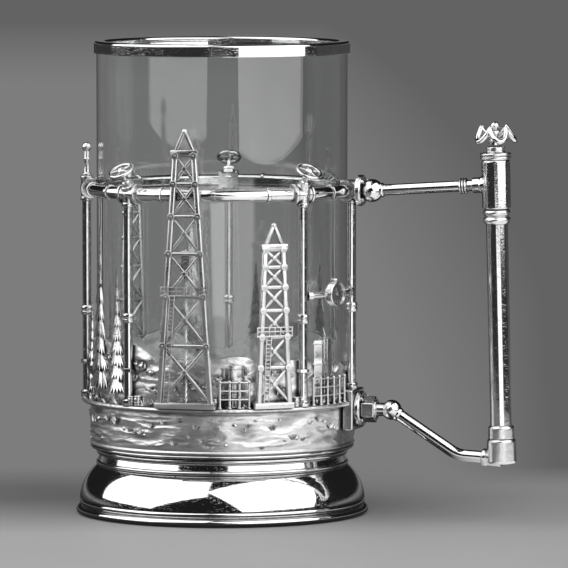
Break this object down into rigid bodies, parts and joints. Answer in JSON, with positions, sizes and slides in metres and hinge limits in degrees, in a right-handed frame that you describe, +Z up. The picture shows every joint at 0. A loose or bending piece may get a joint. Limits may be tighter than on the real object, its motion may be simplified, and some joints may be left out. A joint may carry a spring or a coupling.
{
  "type": "tea glass holder",
  "caption": "Openwork metal tea glass holder on a domed base, with a straight glass, a pipe handle and a small valve hand wheel.",
  "frame": {"origin": "centre of the foot's underside, on the axis of the glass", "axes": "+Z up along the axis of the glass; +X towards the handle; the relief's front looks towards -Y"},
  "size_m": [0.1215, 0.08, 0.1267],
  "materials": {
    "polished_base": "mirror polished silver plate",
    "cast_relief": "cast relief, bright on its high places and darkened in its hollows",
    "pipework": "polished silver plate, slightly soft",
    "lip_metal": "mirror polished silver plate",
    "clear_glass": "clear polished glass"
  },
  "bodies": {
    "holder": {"foot_ring": "polished_base", "base_dome": "polished_base", "waist_ring": "polished_base", "floor_plate": "polished_base", "sleeve_band": "cast_relief", "hills_front": "cast_relief", "hills_rear": "cast_relief", "lower_pad": "pipework", "handle_tee": "pipework", "valve_1": "pipework", "valve_2": "pipework", "mast_tee": "pipework", "valve_3": "pipework", "valve_wheel_1": "pipework", "valve_wheel_2": "pipework", "valve_wheel_3": "pipework", "ring_pipe_1": "pipework", "ring_pipe_2": "pipework", "ring_pipe_3": "pipework", "ring_pipe_4": "pipework", "ring_pipe_5": "pipework", "riser_handle": "pipework", "riser_1": "pipework", "riser_2": "pipework", "riser_3": "pipework", "riser_4": "pipework", "mast": "cast_relief", "tower_front": "cast_relief", "tower_hoist": "cast_relief", "tower_small": "cast_relief", "tower_rear": "cast_relief", "pipe_bridge": "pipework", "tank_large": "cast_relief", "tank_small": "cast_relief", "tank_rear": "cast_relief", "firs_left": "cast_relief", "firs_rear": "cast_relief", "firs_right": "cast_relief", "railing": "cast_relief", "upper_flange": "pipework", "upper_bolts": "pipework", "upper_ball": "pipework", "upper_arm": "pipework", "arm_coupling": "pipework", "post_barrel": "pipework", "gland": "pipework", "post_collar": "pipework", "post_tube": "pipework", "elbow_collar": "pipework", "lower_elbow": "pipework", "lower_arm": "pipework", "lower_ball": "pipework", "lower_union": "pipework", "lower_flange": "pipework", "lower_bolts": "pipework"},
    "tumbler": {"glass": "clear_glass", "lip_band": "lip_metal"},
    "hand_wheel": {"spindle": "pipework", "hand_wheel": "pipework", "cap_nut": "pipework"}
  },
  "joints": [
    {"name": "glass_lift", "type": "slide", "parent": "holder", "child": "tumbler", "axis": [0, 0, 1], "range_m": [0, 0.11]},
    {"name": "wheel_turn", "type": "hinge", "parent": "holder", "child": "hand_wheel", "pos_m": [0.07597, 0, 0.09598], "axis": [-0.0244, 0, 0.9997], "continuous": true}
  ]
}
